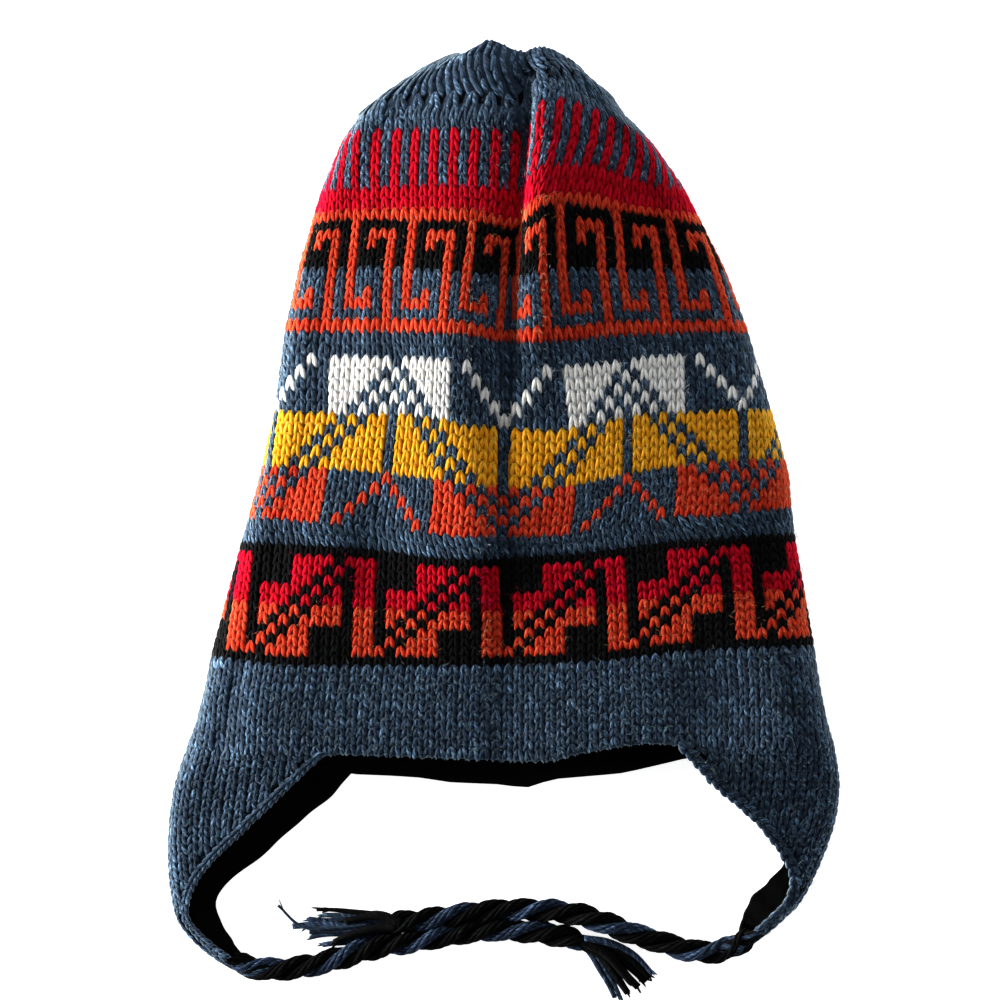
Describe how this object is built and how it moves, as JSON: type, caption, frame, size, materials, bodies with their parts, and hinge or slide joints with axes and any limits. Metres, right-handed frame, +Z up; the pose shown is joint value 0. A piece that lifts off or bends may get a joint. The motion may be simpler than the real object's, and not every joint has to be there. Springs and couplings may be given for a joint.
{
  "type": "chullo hat",
  "caption": "Knitted hat with ear flaps, a dark lining and braided ties, lying flat: hollow shell open at the rim, gathered at the top.",
  "frame": {"origin": "middle of the hat's outline seen from above, on the surface that it lies on", "axes": "+Z up from the surface and out of the front of the hat, +Y from the rim towards the gathered top, +X towards the hat's right side as seen from above"},
  "size_m": [0.2801, 0.4002, 0.0393],
  "materials": {
    "knit": "thick wool knit in patterned bands, blue-grey ground",
    "lining": "black brushed fleece",
    "braid": "braided black and blue-grey wool yarn"
  },
  "bodies": {
    "root": {"crown": "knit", "ear_flap_left": "knit", "ear_flap_right": "knit", "lining": "lining", "tie_left": "braid", "tie_right": "braid", "tassel_left": "braid", "tassel_right": "braid"}
  },
  "joints": []
}
